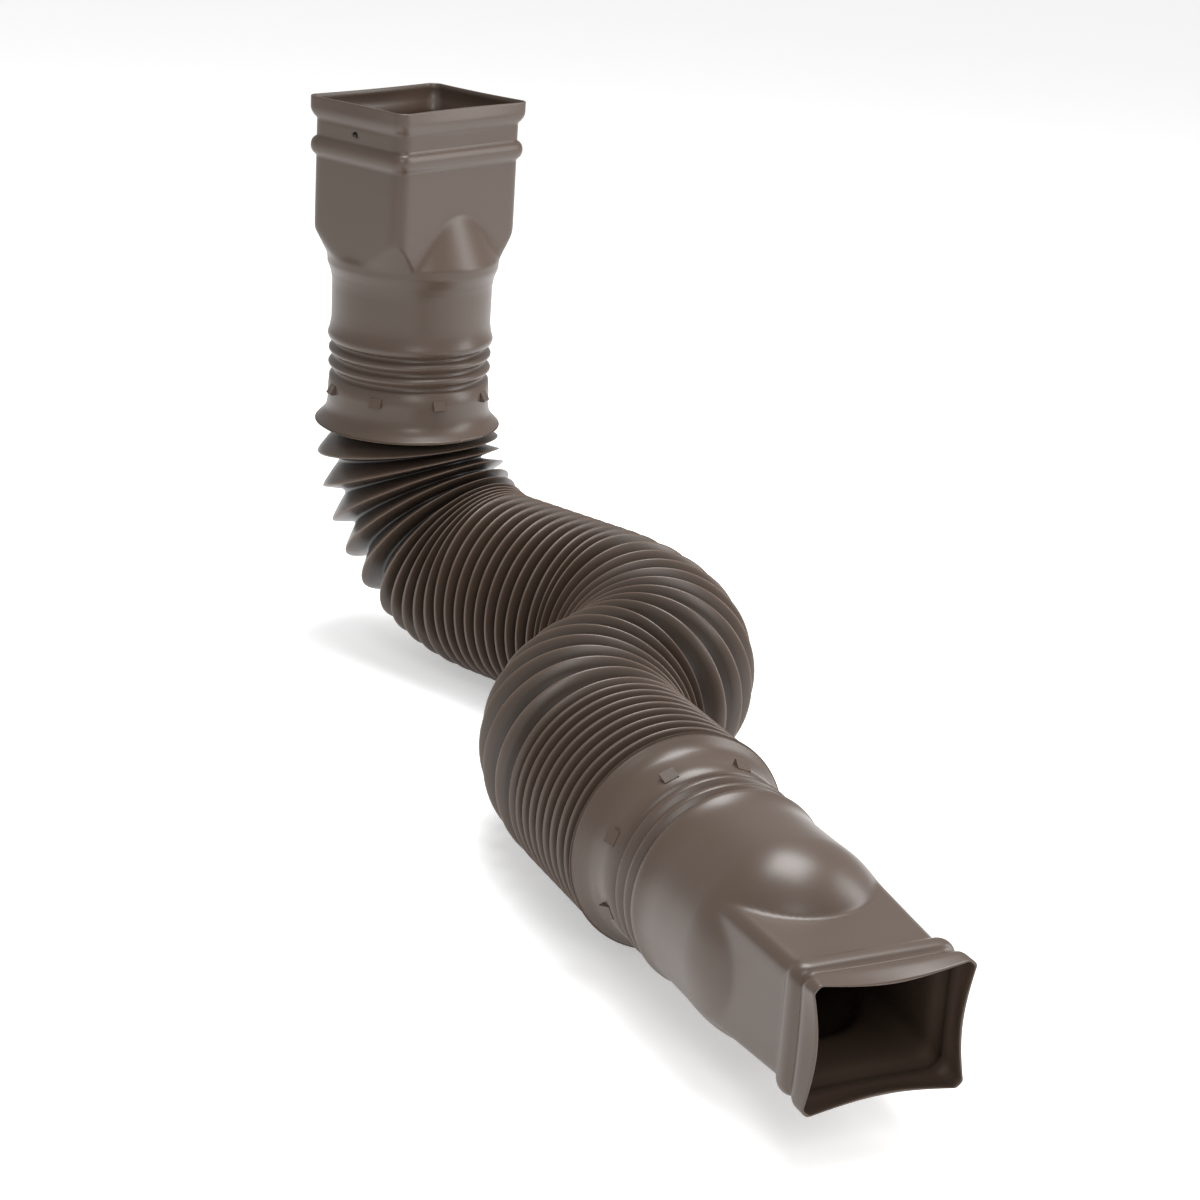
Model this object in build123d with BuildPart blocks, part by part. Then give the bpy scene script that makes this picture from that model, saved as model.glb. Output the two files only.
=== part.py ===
# Flexible downspout extension, one blow-moulded tube. Millimetres, +Z up.
# The origin is the centre of the inlet's mouth. The outlet points along -Y.
import os
from math import cos, degrees, radians, sin
from build123d import *

wall = 1.4

# Inlet socket, for a downspout of three by four inches.
inlet_wide = 109.0
inlet_narrow = 82.0
inlet_corner = 9.0
inlet_rib_at = 31.0
inlet_cone_mouth_r = 110.0
inlet_cone_neck_r = 55.5

# Outlet socket, for a downspout of two by three inches.
outlet_wide = 80.0
outlet_narrow = 61.0
outlet_corner = 8.0
outlet_rib_at = 21.0
outlet_draft = 2.5

# Both sockets, measured from the mouth.
lip_proud = 3.0
lip_tall = 12.0
rib_proud = 2.6
rib_flat = 5.0
rib_tall = 11.0
socket_long = 100.0

# Necks. Distances are from the mouth.
neck_r = 51.8
neck_start = 117.0
neck_end = 150.0
bulge_r = 54.0
bulge_at = 154.0
groove_r = 50.0
groove_at = 159.0
groove_pitch = 9.4
grooves = 3
collar_r = 53.0
collar_end = 200.0
flare_r = 61.0
neck_long = 211.5

# Bellows.
ridge_r = 60.0
closed_valley_r = 47.0
open_valley_r = 51.5
bore_r = 44.5
neck_bore_r = 48.4
neck_bore_from = socket_long - 12.0

# The way the tube lies: down, over to the ground, then two turns on the ground.
bend_r = 90.0
heading = -66.6
run_a = 86.0
right_r = 107.0
right_turn = 84.8
left_r = 98.0
left_turn = right_turn - 90.0 - heading
inlet_turn = heading + 90.0
run_b = 92.0

# Folds in each stretch of the tube. Each ring is drawn with flat sides, to keep the faces few.
fold_sides = 16
flat_enough = 0.002
folds_bend = 6
folds_closed_a = 16
folds_right = 10
folds_left = 6
folds_closed_b = 8
pitch_open = 15.0
pitch_closed = 8.2

# Barbs round each neck, and the screw hole in the inlet's narrow side.
barbs = 8
barb_wide = 8.0
barb_tall = 6.0
barb_proud = 3.0
barb_at = 191.0
screw_r = 2.0
screw_at = 19.0

bend_len = radians(90) * bend_r
right_len = radians(right_turn) * right_r
left_len = radians(left_turn) * left_r
bellows_len = bend_len + run_a + right_len + left_len + run_b
path_len = neck_long + bellows_len + neck_long

# Lengths of the tube's stretches with the radius of each: 0 is straight, minus turns right.
ground_stretches = ((run_a, 0), (right_len, -right_r), (left_len, left_r), (run_b + neck_long, 0))


def on_ground(place, angle, length, radius):
    """The place and angle at the end of a stretch on the ground."""
    a = radians(angle)
    if radius == 0:
        return place + Vector(cos(a), sin(a), 0) * length, angle
    b = a + length / radius
    centre = place + Vector(-sin(a), cos(a), 0) * radius
    return centre + Vector(sin(b), -cos(b), 0) * radius, degrees(b)


def station(d):
    """The plane across the tube at a length along its way, with the bend's radius and outer side there."""
    ahead = Vector(cos(radians(heading)), sin(radians(heading)), 0)
    side = Vector(-sin(radians(heading)), cos(radians(heading)), 0)
    if d <= neck_long:
        return Plane(origin=(0, 0, -d), x_dir=side, z_dir=(0, 0, -1)), 0, 0
    d = d - neck_long
    if d < bend_len:
        a = d / bend_r
        place = ahead * (bend_r * (1 - cos(a))) + Vector(0, 0, -neck_long - bend_r * sin(a))
        return Plane(origin=place, x_dir=side, z_dir=ahead * sin(a) - Vector(0, 0, cos(a))), bend_r, -90
    d = d - bend_len
    place = ahead * bend_r + Vector(0, 0, -neck_long - bend_r)
    angle = heading
    for length, radius in ground_stretches:
        step = min(d, length)
        place, angle = on_ground(place, angle, step, radius)
        d = d - step
        if d <= 0:
            break
    a = radians(angle)
    plane = Plane(origin=place, x_dir=(-sin(a), cos(a), 0), z_dir=(cos(a), sin(a), 0))
    return plane, abs(radius), 0 if radius < 0 else 180


def ring_points(d, r):
    """Corners of a ring. In a bend a valley is deeper on the outer side, which keeps each facet flat."""
    plane, bend, outer = station(d)
    lean = (ridge_r - r) / bend if bend else 0
    points = []
    for i in range(fold_sides):
        a = radians(i * 360 / fold_sides)
        reach = r / (1 + lean * cos(a - radians(outer)))
        points.append(plane.origin + plane.x_dir * (reach * cos(a)) + plane.y_dir * (reach * sin(a)))
    return points


def facets(rings):
    """Flat facets from each ring to the next: one of four corners where they lie flat, else two of three."""
    faces = []
    for first, second in zip(rings, rings[1:]):
        for i in range(fold_sides):
            j = (i + 1) % fold_sides
            a, b, c, d = first[i], first[j], second[j], second[i]
            if abs((b - a).cross(d - a).normalized().dot(c - a)) < flat_enough:
                loops = [(a, b, c, d)]
            else:
                loops = [(a, b, c), (a, c, d)]
            faces = faces + [Face(Wire.make_polygon(loop)) for loop in loops]
    return faces


def lip_sections():
    """Distance from the mouth and growth of each section of the lip."""
    return (0.0, lip_proud), (lip_tall, 0.0)


def rib_sections(rib_at):
    """The same for the rib below the lip."""
    inner = rib_flat / 2
    outer = rib_tall / 2
    return (rib_at - outer, 0.0), (rib_at - inner, rib_proud), (rib_at + inner, rib_proud), (rib_at + outer, 0.0)


def neck_rings(dome):
    """Distance from the mouth and radius of each ring of a neck, from the dome in its socket to its flare."""
    rings = list(dome)
    rings = rings + [(neck_start, neck_r), (neck_end, neck_r), (bulge_at, bulge_r)]
    for i in range(grooves):
        rings.append((groove_at + i * groove_pitch, groove_r))
        rings.append((groove_at + (i + 0.5) * groove_pitch, collar_r))
    return rings + [(collar_end, collar_r), (neck_long, flare_r)]


inlet_dome = ((62.0, 36.0), (76.0, 48.0), (socket_long + 4, inlet_cone_neck_r))
outlet_dome = ((30.0, 26.0), (50.0, 42.0), (socket_long - 10, 53.0))

mouth_end = station(path_len)[0].origin
turn = radians(inlet_turn)
inlet_across = Vector(cos(turn), sin(turn), 0)

with BuildPart() as inlet_end:
    way_in = Vector(0, 0, -1)
    mouth = Plane(origin=(0, 0, 0), x_dir=inlet_across, z_dir=way_in)
    with BuildSketch(mouth):
        RectangleRounded(inlet_wide, inlet_narrow, inlet_corner)
    extrude(amount=socket_long)
    with BuildPart(mode=Mode.INTERSECT):
        for s, r in ((-1.0, inlet_cone_mouth_r), (socket_long + 1, inlet_cone_neck_r)):
            with BuildSketch(mouth.offset(s)):
                Circle(r)
        loft(ruled=True)
    for sections in (lip_sections(), rib_sections(inlet_rib_at)):
        for s, grow in sections:
            with BuildSketch(mouth.offset(s)):
                RectangleRounded(inlet_wide + 2 * grow, inlet_narrow + 2 * grow, inlet_corner)
        loft(ruled=True)
    for s, r in neck_rings(inlet_dome):
        with BuildSketch(mouth.offset(s)):
            Circle(r)
    loft(ruled=True)
    for i in range(barbs):
        out = Vector(1, 0, 0).rotate(Axis.Z, (i + 0.5) * 360 / barbs)
        with BuildSketch(Plane(origin=way_in * barb_at, x_dir=out, z_dir=way_in.cross(out))):
            with BuildLine():
                Polyline((neck_r, 0), (collar_r + barb_proud, 0), (collar_r, barb_tall),
                         (neck_r, barb_tall), close=True)
            make_face()
        extrude(amount=barb_wide / 2, both=True)
    with BuildPart(mode=Mode.SUBTRACT):
        with BuildSketch(mouth):
            RectangleRounded(inlet_wide - 2 * wall, inlet_narrow - 2 * wall, inlet_corner - wall)
        extrude(amount=socket_long)
        with BuildPart(mode=Mode.INTERSECT):
            for s, r in ((-1.0, inlet_cone_mouth_r), (socket_long + 1, inlet_cone_neck_r)):
                with BuildSketch(mouth.offset(s)):
                    Circle(r - wall)
            loft(ruled=True)
        for s, grow in lip_sections():
            with BuildSketch(mouth.offset(s)):
                g = 2 * grow - 2 * wall
                RectangleRounded(inlet_wide + g, inlet_narrow + g, inlet_corner - wall)
        loft(ruled=True)
    with BuildSketch(mouth.offset(neck_bore_from)):
        Circle(neck_bore_r)
    extrude(amount=neck_long, mode=Mode.SUBTRACT)
    with Locations(Plane(origin=way_in * screw_at, x_dir=(0, 0, 1), z_dir=inlet_across * -1)):
        Cylinder(screw_r, inlet_wide, align=(Align.CENTER, Align.CENTER, Align.MIN), mode=Mode.SUBTRACT)

with BuildPart() as outlet_end:
    way_in = Vector(0, 1, 0)
    mouth = Plane(origin=mouth_end, x_dir=(1, 0, 0), z_dir=way_in)
    with BuildSketch(mouth):
        RectangleRounded(outlet_wide, outlet_narrow, outlet_corner)
    extrude(amount=socket_long, taper=-outlet_draft)
    for sections in (lip_sections(), rib_sections(outlet_rib_at)):
        for s, grow in sections:
            with BuildSketch(mouth.offset(s)):
                RectangleRounded(outlet_wide + 2 * grow, outlet_narrow + 2 * grow, outlet_corner)
        loft(ruled=True)
    for s, r in neck_rings(outlet_dome):
        with BuildSketch(mouth.offset(s)):
            Circle(r)
    loft(ruled=True)
    for i in range(barbs):
        out = Vector(1, 0, 0).rotate(Axis.Y, (i + 0.5) * 360 / barbs)
        with BuildSketch(Plane(origin=mouth_end + way_in * barb_at, x_dir=out, z_dir=way_in.cross(out))):
            with BuildLine():
                Polyline((neck_r, 0), (collar_r + barb_proud, 0), (collar_r, barb_tall),
                         (neck_r, barb_tall), close=True)
            make_face()
        extrude(amount=barb_wide / 2, both=True)
    with BuildPart(mode=Mode.SUBTRACT):
        with BuildSketch(mouth):
            RectangleRounded(outlet_wide - 2 * wall, outlet_narrow - 2 * wall, outlet_corner - wall)
        extrude(amount=socket_long, taper=-outlet_draft)
        for s, grow in lip_sections():
            with BuildSketch(mouth.offset(s)):
                g = 2 * grow - 2 * wall
                RectangleRounded(outlet_wide + g, outlet_narrow + g, outlet_corner - wall)
        loft(ruled=True)
    with BuildSketch(mouth.offset(neck_bore_from)):
        Circle(neck_bore_r)
    extrude(amount=neck_long, mode=Mode.SUBTRACT)

# Folds: a pitch for each, then all stretched together so that they fill the bellows.
pitches = [pitch_open] * folds_bend + [pitch_closed] * folds_closed_a
pitches = pitches + [pitch_open] * (folds_right + folds_left) + [pitch_closed] * folds_closed_b
stretch = bellows_len / (sum(pitches) + pitch_closed)
at = neck_long + pitch_closed * stretch / 2
fold_rings = [ring_points(neck_long, ridge_r), ring_points(at, closed_valley_r)]
for pitch in pitches:
    fold_rings.append(ring_points(at + pitch * stretch / 2, ridge_r))
    at = at + pitch * stretch
    valley_r = open_valley_r if station(at)[1] else closed_valley_r
    fold_rings.append(ring_points(at, valley_r))
fold_rings.append(ring_points(path_len - neck_long, ridge_r))

# The bore through the bellows: a ring at each end of a stretch and some in the bends.
ground_at = neck_long + bend_len + run_a
bore_at = [neck_long + bend_len * i / 4 for i in range(5)]
bore_at = bore_at + [ground_at + right_len * i / 4 for i in range(5)]
bore_at = bore_at + [ground_at + right_len + left_len * i / 3 for i in (1, 2, 3)]
bore_at.append(path_len - neck_long)
bore_rings = []
for d in bore_at:
    plane = station(d)[0]
    turns = [radians(i * 360 / fold_sides) for i in range(fold_sides)]
    bore_rings.append([plane.origin + (plane.x_dir * cos(a) + plane.y_dir * sin(a)) * bore_r for a in turns])

closing = []
for i in (0, -1):
    hole = Wire.make_polygon(bore_rings[i])
    closing.append(Face(Wire.make_polygon(fold_rings[i]), [hole]))
bellows = Solid(Shell(facets(fold_rings) + facets(bore_rings) + closing))

with BuildPart() as downspout_extension:
    add(inlet_end.part)
    add(outlet_end.part)
    add(bellows, clean=False)

downspout_extension.part.label = "downspout_extension"
os.makedirs("parts", exist_ok=True)
export_step(downspout_extension.part, "parts/downspout_extension.step")
print("solids", len(downspout_extension.part.solids()), "volume", downspout_extension.part.volume)
print("box", downspout_extension.part.bounding_box())
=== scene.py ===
"""Looks of the flexible downspout extension: one brown moulded tube on a pale studio floor."""
import math

import bpy
import numpy as np
from mathutils import Matrix, Vector


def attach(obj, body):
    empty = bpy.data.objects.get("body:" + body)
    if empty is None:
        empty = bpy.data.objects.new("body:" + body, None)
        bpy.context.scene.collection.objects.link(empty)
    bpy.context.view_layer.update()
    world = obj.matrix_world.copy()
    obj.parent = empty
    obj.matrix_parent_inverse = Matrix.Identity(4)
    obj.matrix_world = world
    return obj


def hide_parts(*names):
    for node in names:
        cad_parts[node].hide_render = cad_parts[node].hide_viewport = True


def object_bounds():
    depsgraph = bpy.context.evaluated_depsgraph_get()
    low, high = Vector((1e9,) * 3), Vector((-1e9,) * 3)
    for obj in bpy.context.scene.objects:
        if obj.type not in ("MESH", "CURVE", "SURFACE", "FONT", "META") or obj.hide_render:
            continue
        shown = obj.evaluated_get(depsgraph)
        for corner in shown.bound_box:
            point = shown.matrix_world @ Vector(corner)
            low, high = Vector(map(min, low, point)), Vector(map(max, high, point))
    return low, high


MM = 0.001

# Driving sizes in millimetres, the same as the CAD part's.
WALL = 1.4
NECK_LONG = 211.5
BEND_R = 90.0
HEADING = -66.6
RUN_A = 86.0
RIGHT_R = 107.0
RIGHT_TURN = 84.8
LEFT_R = 98.0
LEFT_TURN = RIGHT_TURN - 90.0 - HEADING
RUN_B = 92.0
RIDGE_R = 60.0
VALLEY_R = 46.5
BORE_R = 44.5
LIP_PROUD = 3.0
LIP_TALL = 12.0
RIB_PROUD = 2.6
RIB_TALL = 11.0
INLET = {"wide": 109.0, "narrow": 82.0, "corner": 9.0, "bow": 2.4, "rib": 31.0, "draft": 0.0}
OUTLET = {"wide": 80.0, "narrow": 61.0, "corner": 8.0, "bow": 5.0, "rib": 21.0, "draft": 4.4}

# Cones that take the corners off each socket: distance from the mouth and radius, twice.
INLET_CONE = (0.0, 110.0, 101.0, 55.5)
OUTLET_CONE = (60.0, 72.0, 110.0, 50.0)

# Rings of each neck's outline from the dome in its socket: distance from the mouth and radius.
# The inlet's dome is a cone, and the outlet's is half a ball.
INLET_DOME = [(59.9, 0), (60, 37), (100, 55.5), (106, 55.3), (112, 53), (118, 52.0)]
BALL_R = 52.5
BALL_AT = 100.0
BALL_FROM = 54.0
OUTLET_DOME = [(BALL_FROM - 0.1, 0)]
OUTLET_DOME += [(s, math.sqrt(BALL_R ** 2 - (BALL_AT - s) ** 2)) for s in np.linspace(BALL_FROM, BALL_AT, 24)]
OUTLET_DOME += [(118, 52.0)]
NECK = [(148, 51.8), (151, 53.4), (153.6, 54), (156, 53.2), (157.8, 49.4), (160.2, 49), (162, 52.4), (163.7, 53.4),
        (165.4, 52.4), (167.2, 49.4), (169.6, 49), (171.4, 52.4), (173.1, 53.4), (174.8, 52.4), (176.6, 49.4),
        (179, 49), (181, 52.2), (183, 53), (199, 53), (204, 54.2), (208, 57.2), (211, 60.6), (212.4, 61)]

# Folds in order, as stretches of count and pitch.
OPEN_PITCH = 15.0
CLOSED_PITCH = 8.2
STRETCHES = [(6, OPEN_PITCH), (16, CLOSED_PITCH), (16, OPEN_PITCH), (8, CLOSED_PITCH)]

# A fold's outline: share of its pitch, and share of the way from valley to ridge.
# An open fold has one long face and one short. A closed fold is a thin fin with a gap beside it.
OPEN_FOLD = [(0.0, 0.0), (0.08, 0.06), (0.3, 0.42), (0.56, 0.84), (0.66, 0.975), (0.70, 1.0), (0.735, 0.95),
             (0.81, 0.6), (0.92, 0.1)]
CLOSED_FOLD = [(0.0, 0.0), (0.2, 0.06), (0.33, 0.45), (0.40, 0.9), (0.45, 0.99), (0.52, 1.0), (0.58, 0.92),
               (0.68, 0.4), (0.82, 0.05)]

BARBS = 8
BARB_WIDE = 8.0
BARB_TALL = 6.0
BARB_PROUD = 3.0
BARB_AT = 191.0
COLLAR_R = 53.0
SCREW_R = 2.0
SCREW_AT = 19.0

AROUND = 128
CORNER_ANGLE = 37.0

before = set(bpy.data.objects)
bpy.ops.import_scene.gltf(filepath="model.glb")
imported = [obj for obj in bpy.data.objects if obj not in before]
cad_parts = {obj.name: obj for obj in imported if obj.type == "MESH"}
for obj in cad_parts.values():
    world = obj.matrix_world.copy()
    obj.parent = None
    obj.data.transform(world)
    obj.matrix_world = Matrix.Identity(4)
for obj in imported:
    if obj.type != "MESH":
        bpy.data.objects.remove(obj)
cad_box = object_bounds()

bend_len = math.radians(90) * BEND_R
right_len = math.radians(RIGHT_TURN) * RIGHT_R
left_len = math.radians(LEFT_TURN) * LEFT_R
bellows_len = bend_len + RUN_A + right_len + left_len + RUN_B
path_len = bellows_len + 2 * NECK_LONG


def station(d):
    """Centre, side and second way across the tube at a length along it from the inlet's mouth."""
    h = math.radians(HEADING)
    ahead = np.array([math.cos(h), math.sin(h), 0.0])
    side = np.array([-math.sin(h), math.cos(h), 0.0])
    if d <= NECK_LONG:
        return np.array([0.0, 0.0, -d]), side, ahead
    d = d - NECK_LONG
    if d < bend_len:
        a = d / BEND_R
        centre = ahead * BEND_R * (1 - math.cos(a)) + np.array([0, 0, -NECK_LONG - BEND_R * math.sin(a)])
        return centre, side, ahead * math.cos(a) + np.array([0, 0, math.sin(a)])
    d = d - bend_len
    place = ahead * BEND_R
    angle = h
    for length, radius in ((RUN_A, 0), (right_len, -RIGHT_R), (left_len, LEFT_R), (path_len, 0)):
        step = min(d, length)
        if radius == 0:
            place = place + step * np.array([math.cos(angle), math.sin(angle), 0])
        else:
            centre = place + radius * np.array([-math.sin(angle), math.cos(angle), 0])
            angle = angle + step / radius
            place = centre + radius * np.array([math.sin(angle), -math.cos(angle), 0])
        d = d - step
        if d <= 0:
            break
    side = np.array([-math.sin(angle), math.cos(angle), 0.0])
    return place + np.array([0, 0, -NECK_LONG - BEND_R]), side, np.array([0.0, 0.0, 1.0])


def angles():
    """Angles round the tube, closer together where the sockets have their corners."""
    fine = np.linspace(0, 2 * np.pi, 7201)
    density = np.ones_like(fine)
    for corner in (CORNER_ANGLE, 180 - CORNER_ANGLE, 180 + CORNER_ANGLE, 360 - CORNER_ANGLE):
        density += 3.5 * np.exp(-((np.degrees(fine) - corner) / 5.0) ** 2)
    total = np.concatenate([[0], np.cumsum((density[1:] + density[:-1]) / 2)])
    return np.interp(np.linspace(0, total[-1], AROUND + 1)[:-1], total, fine)


PHI = angles()


def larger(a, b, soft):
    """The larger of two radii, blended where they cross."""
    return 0.5 * (a + b + np.sqrt((a - b) ** 2 + soft ** 2))


def smaller(a, b, soft):
    """The smaller of two radii, blended where they cross."""
    return 0.5 * (a + b - np.sqrt((a - b) ** 2 + soft ** 2))


def rectangle(half_wide, half_narrow, corner, bow):
    """Radius of a rounded rectangle with bowed sides, at each angle."""
    x = np.abs(np.cos(PHI))
    y = np.abs(np.sin(PHI))
    reach = np.minimum(half_wide / np.maximum(x, 1e-6), half_narrow / np.maximum(y, 1e-6))
    wide = half_wide - bow * (1 - np.clip(reach * y / half_narrow, 0, 1) ** 2)
    narrow = half_narrow - bow * (1 - np.clip(reach * x / half_wide, 0, 1) ** 2)
    reach = np.minimum(wide / np.maximum(x, 1e-6), narrow / np.maximum(y, 1e-6))
    kx = half_wide - corner
    ky = half_narrow - corner
    b = x * kx + y * ky
    round_reach = b + np.sqrt(np.maximum(b * b - (kx * kx + ky * ky - corner * corner), 0))
    in_corner = (reach * x > kx) & (reach * y > ky)
    return np.where(in_corner, np.minimum(reach, round_reach), reach)


def lip_and_rib(s, rib):
    """How far the lip and the rib stand out at a distance from the mouth."""
    lip = LIP_PROUD * (1 - np.clip((s - 0.55 * LIP_TALL) / (0.6 * LIP_TALL), 0, 1) ** 2) if s < 1.15 * LIP_TALL else 0
    bead = 1 - ((s - rib) / (RIB_TALL / 2)) ** 2
    return max(lip, 0) + RIB_PROUD * math.sqrt(max(bead, 0))


def end_ring(s, socket, cone, dome):
    """Radius round an end of the tube at a distance from its mouth."""
    grow = lip_and_rib(s, socket["rib"])
    draft = socket["draft"] * np.clip((s - 30) / 70, 0, 1)
    bow = socket["bow"] * (1 - np.clip(s / (1.3 * LIP_TALL), 0, 1))
    box = rectangle(socket["wide"] / 2 + grow + draft, socket["narrow"] / 2 + grow + draft * 0.6,
                    socket["corner"], bow)
    slope = (cone[3] - cone[1]) / (cone[2] - cone[0])
    box = smaller(box, np.full(AROUND, max(cone[1] + slope * (s - cone[0]), 5.0)), 0.8)
    rings = np.array(dome + NECK, float)
    neck = float(np.interp(s, rings[:, 0], rings[:, 1]))
    return larger(box, np.full(AROUND, neck), 0.8)


def end_steps():
    """Distances from the mouth at which an end has a ring."""
    plain = np.concatenate([[0.35, 1.0], np.arange(2.5, 40, 1.25), np.arange(41, 118, 1.3)])
    neck = np.concatenate([np.linspace(122, 150, 5), np.arange(151.2, 181.5, 1.2), [190, 198],
                           np.arange(201, 212, 1.8), [211.5]])
    return np.concatenate([plain, neck])


def fold_steps():
    """Length along the tube and radius of each ring of the bellows."""
    pitches = [pitch for count, pitch in STRETCHES for _ in range(count)]
    stretch = bellows_len / (sum(pitches) + CLOSED_PITCH)
    at = NECK_LONG + CLOSED_PITCH * stretch / 2
    rings = [(NECK_LONG + 1.6, RIDGE_R - 1.5)]
    for pitch in pitches:
        for t, s in OPEN_FOLD if pitch == OPEN_PITCH else CLOSED_FOLD:
            rings.append((at + t * pitch * stretch, VALLEY_R + (RIDGE_R - VALLEY_R) * s))
        at = at + pitch * stretch
    return rings + [(at, VALLEY_R), (path_len - NECK_LONG - 1.6, RIDGE_R - 1.5)]


def ring_points(d, radius):
    """Points of a ring across the tube."""
    centre, side, second = station(d)
    across = np.outer(np.cos(PHI), side) + np.outer(np.sin(PHI), second)
    return centre + across * np.reshape(radius, (-1, 1))


def tube_rings():
    """Rings over the outside from mouth to mouth, then back through the inside."""
    steps = end_steps()
    inlet = [(s, end_ring(s, INLET, INLET_CONE, INLET_DOME)) for s in steps]
    outlet = [(path_len - s, end_ring(s, OUTLET, OUTLET_CONE, OUTLET_DOME)) for s in steps]
    folds = [(d, np.full(AROUND, r)) for d, r in fold_steps()]
    inlet_in = [(d, np.maximum(r - WALL, BORE_R if d > 120 else 0)) for d, r in inlet[::3] if d < 150]
    outlet_in = [(d, np.maximum(r - WALL, BORE_R if path_len - d > 120 else 0)) for d, r in outlet[::3]
                 if path_len - d < 150]
    through = [(d, np.full(AROUND, BORE_R)) for d in np.linspace(165, path_len - 165, 32)]
    rim_in = [(0.0, inlet[0][1] - 0.35), (0.0, inlet[0][1] - WALL + 0.35)]
    rim_out = [(path_len, outlet[0][1] - 0.35), (path_len, outlet[0][1] - WALL + 0.35)]
    outside = [rim_in[0]] + inlet + folds + outlet[::-1] + [rim_out[0]]
    inside = [rim_out[1]] + outlet_in + through[::-1] + inlet_in[::-1] + [rim_in[1]]
    return outside + inside


def mesh_object(name, points, faces):
    """A new object from points in millimetres."""
    mesh = bpy.data.meshes.new(name)
    mesh.from_pydata((np.asarray(points) * MM).tolist(), [], faces)
    mesh.update()
    obj = bpy.data.objects.new(name, mesh)
    bpy.context.scene.collection.objects.link(obj)
    return obj


def plain_copy(obj):
    """Replaces an object's mesh by what its modifiers make, and takes them off."""
    graph = bpy.context.evaluated_depsgraph_get()
    mesh = bpy.data.meshes.new_from_object(obj.evaluated_get(graph))
    obj.modifiers.clear()
    obj.data = mesh


def fold_height(d, radius):
    """Share of the way from valley to ridge in the bellows, and 1 on the rest of the tube. It sets the painted shade
    in the valleys and the painted highlight on the ridges.
    """
    if NECK_LONG < d < path_len - NECK_LONG:
        return float(np.clip((radius[0] - VALLEY_R) / (RIDGE_R - VALLEY_R), 0, 1))
    return 0.9


def make_tube():
    """The moulded tube as one closed skin, with the screw hole cut through the inlet's side."""
    rings = tube_rings()
    points = np.vstack([ring_points(d, r) for d, r in rings])
    count = len(rings)
    faces = []
    for i in range(count):
        a = i * AROUND
        b = ((i + 1) % count) * AROUND
        faces += [(a + k, a + (k + 1) % AROUND, b + (k + 1) % AROUND, b + k) for k in range(AROUND)]
    tube = mesh_object("tube", points, faces)
    tube.data.shade_smooth()
    # fold_height is the mask of the painted shade in the bellows' valleys and the painted highlight on their ridges.
    height = tube.data.attributes.new("fold_height", "FLOAT", "POINT")
    height.data.foreach_set("value", np.repeat([fold_height(d, r) for d, r in rings], AROUND))
    across = Vector(station(0)[1])
    bpy.ops.mesh.primitive_cylinder_add(vertices=24, radius=SCREW_R * MM, depth=40 * MM)
    cutter = bpy.context.object
    cutter.matrix_world = (Matrix.Translation(across * -INLET["wide"] / 2 * MM + Vector((0, 0, -SCREW_AT * MM)))
                           @ across.to_track_quat("Z", "Y").to_matrix().to_4x4())
    cut = tube.modifiers.new("screw hole", "BOOLEAN")
    cut.operation = "DIFFERENCE"
    cut.object = cutter
    bpy.context.view_layer.update()
    plain_copy(tube)
    bpy.data.objects.remove(cutter)
    return tube


def barb_group(barb):
    """Geometry nodes: one barb set out round a ring and made real."""
    group = bpy.data.node_groups.new("barbs round a neck", "GeometryNodeTree")
    group.interface.new_socket("Geometry", in_out="OUTPUT", socket_type="NodeSocketGeometry")
    for name, kind in (("Count", "NodeSocketInt"), ("Material", "NodeSocketMaterial")):
        group.interface.new_socket(name, in_out="INPUT", socket_type=kind)
    nodes = group.nodes
    link = group.links.new
    inputs = nodes.new("NodeGroupInput")
    outputs = nodes.new("NodeGroupOutput")
    ring = nodes.new("GeometryNodeMeshLine")
    ring.inputs["Offset"].default_value = (0, 0, 0)
    piece = nodes.new("GeometryNodeObjectInfo")
    piece.inputs["Object"].default_value = barb
    index = nodes.new("GeometryNodeInputIndex")
    share = nodes.new("ShaderNodeMath")
    share.operation = "DIVIDE"
    half = nodes.new("ShaderNodeMath")
    half.operation = "ADD"
    half.inputs[1].default_value = 0.5
    whole = nodes.new("ShaderNodeMath")
    whole.operation = "MULTIPLY"
    whole.inputs[1].default_value = 2 * math.pi
    turn = nodes.new("ShaderNodeCombineXYZ")
    place = nodes.new("GeometryNodeInstanceOnPoints")
    real = nodes.new("GeometryNodeRealizeInstances")
    dress = nodes.new("GeometryNodeSetMaterial")
    link(inputs.outputs["Count"], ring.inputs["Count"])
    link(index.outputs[0], half.inputs[0])
    link(half.outputs[0], share.inputs[0])
    link(inputs.outputs["Count"], share.inputs[1])
    link(share.outputs[0], whole.inputs[0])
    link(whole.outputs[0], turn.inputs["Z"])
    link(ring.outputs["Mesh"], place.inputs["Points"])
    link(piece.outputs["Geometry"], place.inputs["Instance"])
    link(turn.outputs[0], place.inputs["Rotation"])
    link(place.outputs["Instances"], real.inputs["Geometry"])
    link(real.outputs["Geometry"], dress.inputs["Geometry"])
    link(inputs.outputs["Material"], dress.inputs["Material"])
    link(dress.outputs["Geometry"], outputs.inputs["Geometry"])
    return group


def mark_plain(obj):
    """Gives a piece outside the bellows the fold height that keeps its plain colour, clear of the painted shade in
    the bellows' valleys.
    """
    height = obj.data.attributes.new("fold_height", "FLOAT", "POINT")
    height.data.foreach_set("value", [0.9] * len(obj.data.vertices))


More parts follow.
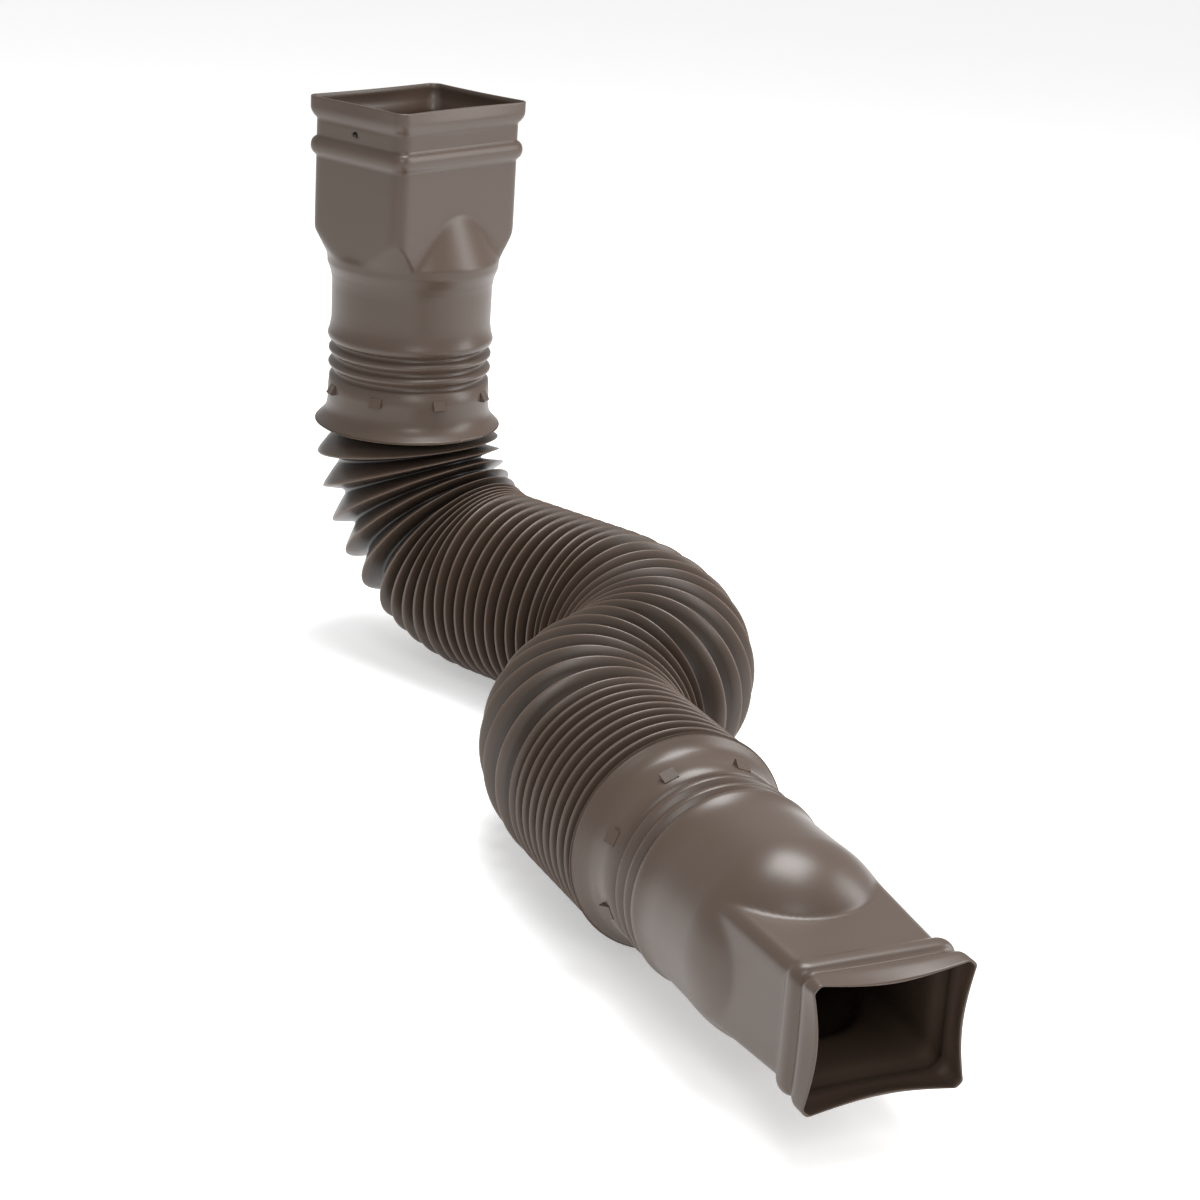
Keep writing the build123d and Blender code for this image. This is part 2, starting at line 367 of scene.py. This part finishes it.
def make_barbs(material):
    """The barbs of both necks: ramps whose flat face looks towards the flare."""
    w = BARB_WIDE / 2
    low = COLLAR_R - 1.5
    top = COLLAR_R + BARB_PROUD
    profile = [(low, BARB_TALL), (COLLAR_R, BARB_TALL), (top, 0.5), (top - 0.4, 0.0), (low, 0.0)]
    count = len(profile)
    points = [(x, -w, z) for x, z in profile] + [(x, w, z) for x, z in profile]
    faces = [tuple(range(count))[::-1], tuple(range(count, 2 * count))]
    faces += [(i, (i + 1) % count, count + (i + 1) % count, count + i) for i in range(count)]
    barb = mesh_object("barb", points, faces)
    group = barb_group(barb)
    sockets = {item.name: item.identifier for item in group.interface.items_tree if item.in_out == "INPUT"}
    made = []
    for name, d, flip in (("inlet_barbs", BARB_AT, False), ("outlet_barbs", path_len - BARB_AT, True)):
        obj = mesh_object(name, [(0, 0, 0)], [])
        setup = obj.modifiers.new("barbs", "NODES")
        setup.node_group = group
        setup[sockets["Count"]] = BARBS
        setup[sockets["Material"]] = material
        obj.update_tag()
        bpy.context.view_layer.update()
        plain_copy(obj)
        mark_plain(obj)
        centre, side, second = station(d)
        along = np.cross(side, second)
        matrix = Matrix((side, second, along)).transposed().to_4x4()
        if not flip:
            matrix = matrix @ Matrix.Rotation(math.pi, 4, "X")
        obj.data.transform(Matrix.Translation(Vector(centre) * MM) @ matrix)
        made.append(obj)
    bpy.data.objects.remove(barb)
    return made


def plastic():
    """Satin brown moulded plastic, with a faint mottle and a fine moulded grain, painted shade in the bellows'
    valleys and a painted highlight on their ridges.
    """
    material = bpy.data.materials.new("brown plastic")
    material.use_nodes = True
    nodes = material.node_tree.nodes
    link = material.node_tree.links.new
    shade = nodes["Principled BSDF"]
    where = nodes.new("ShaderNodeTexCoord")
    mottle = nodes.new("ShaderNodeTexNoise")
    mottle.inputs["Scale"].default_value = 18.0
    mottle.inputs["Detail"].default_value = 4.0
    colour = nodes.new("ShaderNodeMix")
    colour.data_type = "RGBA"
    colour.inputs[6].default_value = (0.062, 0.042, 0.030, 1)
    colour.inputs[7].default_value = (0.073, 0.049, 0.036, 1)
    gloss = nodes.new("ShaderNodeMapRange")
    gloss.inputs["To Min"].default_value = 0.30
    gloss.inputs["To Max"].default_value = 0.40
    grain = nodes.new("ShaderNodeTexNoise")
    grain.inputs["Scale"].default_value = 900.0
    bump = nodes.new("ShaderNodeBump")
    bump.inputs["Strength"].default_value = 0.05
    bump.inputs["Distance"].default_value = 0.0004
    for texture in (mottle, grain):
        link(where.outputs["Object"], texture.inputs["Vector"])
    link(mottle.outputs["Fac"], colour.inputs["Factor"])
    # Painted shade and painted highlight: the fold height darkens the colour to 0.12 in the bellows' valleys and
    # lightens it to 1.45 on their ridges.
    height = nodes.new("ShaderNodeAttribute")
    height.attribute_name = "fold_height"
    depth = nodes.new("ShaderNodeValToRGB")
    depth.color_ramp.elements[0].color = (0.12, 0.12, 0.12, 1)
    depth.color_ramp.elements[1].color = (1.45, 1.45, 1.45, 1)
    middle = depth.color_ramp.elements.new(0.85)
    middle.color = (1, 1, 1, 1)
    # Multiplies the painted shade and painted highlight into the mottled brown.
    shadowed = nodes.new("ShaderNodeMix")
    shadowed.data_type = "RGBA"
    shadowed.blend_type = "MULTIPLY"
    shadowed.inputs["Factor"].default_value = 1.0
    link(height.outputs["Fac"], depth.inputs["Fac"])
    link(colour.outputs[2], shadowed.inputs[6])
    link(depth.outputs["Color"], shadowed.inputs[7])
    link(shadowed.outputs[2], shade.inputs["Base Color"])
    link(mottle.outputs["Fac"], gloss.inputs["Value"])
    link(gloss.outputs["Result"], shade.inputs["Roughness"])
    link(grain.outputs["Fac"], bump.inputs["Height"])
    link(bump.outputs["Normal"], shade.inputs["Normal"])
    shade.inputs["Specular IOR Level"].default_value = 0.5
    return material


def area_light(name, place, target, size, power):
    """A soft lamp that looks at a target."""
    lamp = bpy.data.lights.new(name, "AREA")
    lamp.shape = "RECTANGLE"
    lamp.size = size[0]
    lamp.size_y = size[1]
    lamp.energy = power
    obj = bpy.data.objects.new(name, lamp)
    obj.location = place
    obj.rotation_euler = (Vector(target) - Vector(place)).to_track_quat("-Z", "Y").to_euler()
    bpy.context.scene.collection.objects.link(obj)


def studio():
    """Pale floor, soft lamps and the photograph's camera."""
    floor_z = cad_box[0][2]
    floor = mesh_object("floor", [(-9000, -9000, floor_z / MM), (9000, -9000, floor_z / MM),
                                  (9000, 9000, floor_z / MM), (-9000, 9000, floor_z / MM)], [(0, 1, 2, 3)])
    paper = bpy.data.materials.new("paper")
    paper.use_nodes = True
    paper.node_tree.nodes["Principled BSDF"].inputs["Base Color"].default_value = (0.9, 0.9, 0.9, 1)
    paper.node_tree.nodes["Principled BSDF"].inputs["Roughness"].default_value = 0.9
    paper.node_tree.nodes["Principled BSDF"].inputs["Emission Color"].default_value = (1, 1, 1, 1)
    paper.node_tree.nodes["Principled BSDF"].inputs["Emission Strength"].default_value = 0.4
    floor.data.materials.append(paper)
    world = bpy.data.worlds.new("studio")
    world.use_nodes = True
    world.node_tree.nodes["Background"].inputs["Color"].default_value = (1, 1, 1, 1)
    world.node_tree.nodes["Background"].inputs["Strength"].default_value = 0.55
    bpy.context.scene.world = world
    middle = (0.02, -0.32, -0.25)
    area_light("top lamp", (0.3, -0.1, 1.5), middle, (1.0, 1.0), 34)
    area_light("front lamp", (-0.4, -1.9, 1.0), middle, (0.6, 0.9), 9)
    area_light("right lamp", (1.3, -0.7, 0.4), middle, (0.5, 1.0), 9)
    lens = bpy.data.cameras.new("camera")
    lens.sensor_width = 36.0
    lens.lens = 36.0 * FOCAL_PX / PHOTO_PX
    lens.clip_end = 50
    camera = bpy.data.objects.new("camera", lens)
    right = Vector(CAMERA_RIGHT).normalized()
    forward = Vector(CAMERA_FORWARD).normalized()
    up = right.cross(forward).normalized()
    camera.matrix_world = Matrix.Translation(Vector(CAMERA_AT) * MM) @ Matrix(
        (right, up, -forward)).transposed().to_4x4()
    bpy.context.scene.collection.objects.link(camera)
    bpy.context.scene.camera = camera
    bpy.context.scene.view_settings.view_transform = "Standard"


# The photograph's camera: place in millimetres, ways it looks, and focal length in pixels.
CAMERA_AT = (-593.4, -1525.5, 251.0)
CAMERA_FORWARD = (0.4130, 0.8468, -0.3353)
CAMERA_RIGHT = (0.9065, -0.4176, 0.0618)
FOCAL_PX = 2553.4
PHOTO_PX = 1200.0

brown = plastic()
tube = make_tube()
tube.data.materials.clear()
tube.data.materials.append(brown)
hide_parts("downspout_extension")
pieces = [tube] + make_barbs(brown)
for piece in pieces:
    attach(piece, "root")
studio()
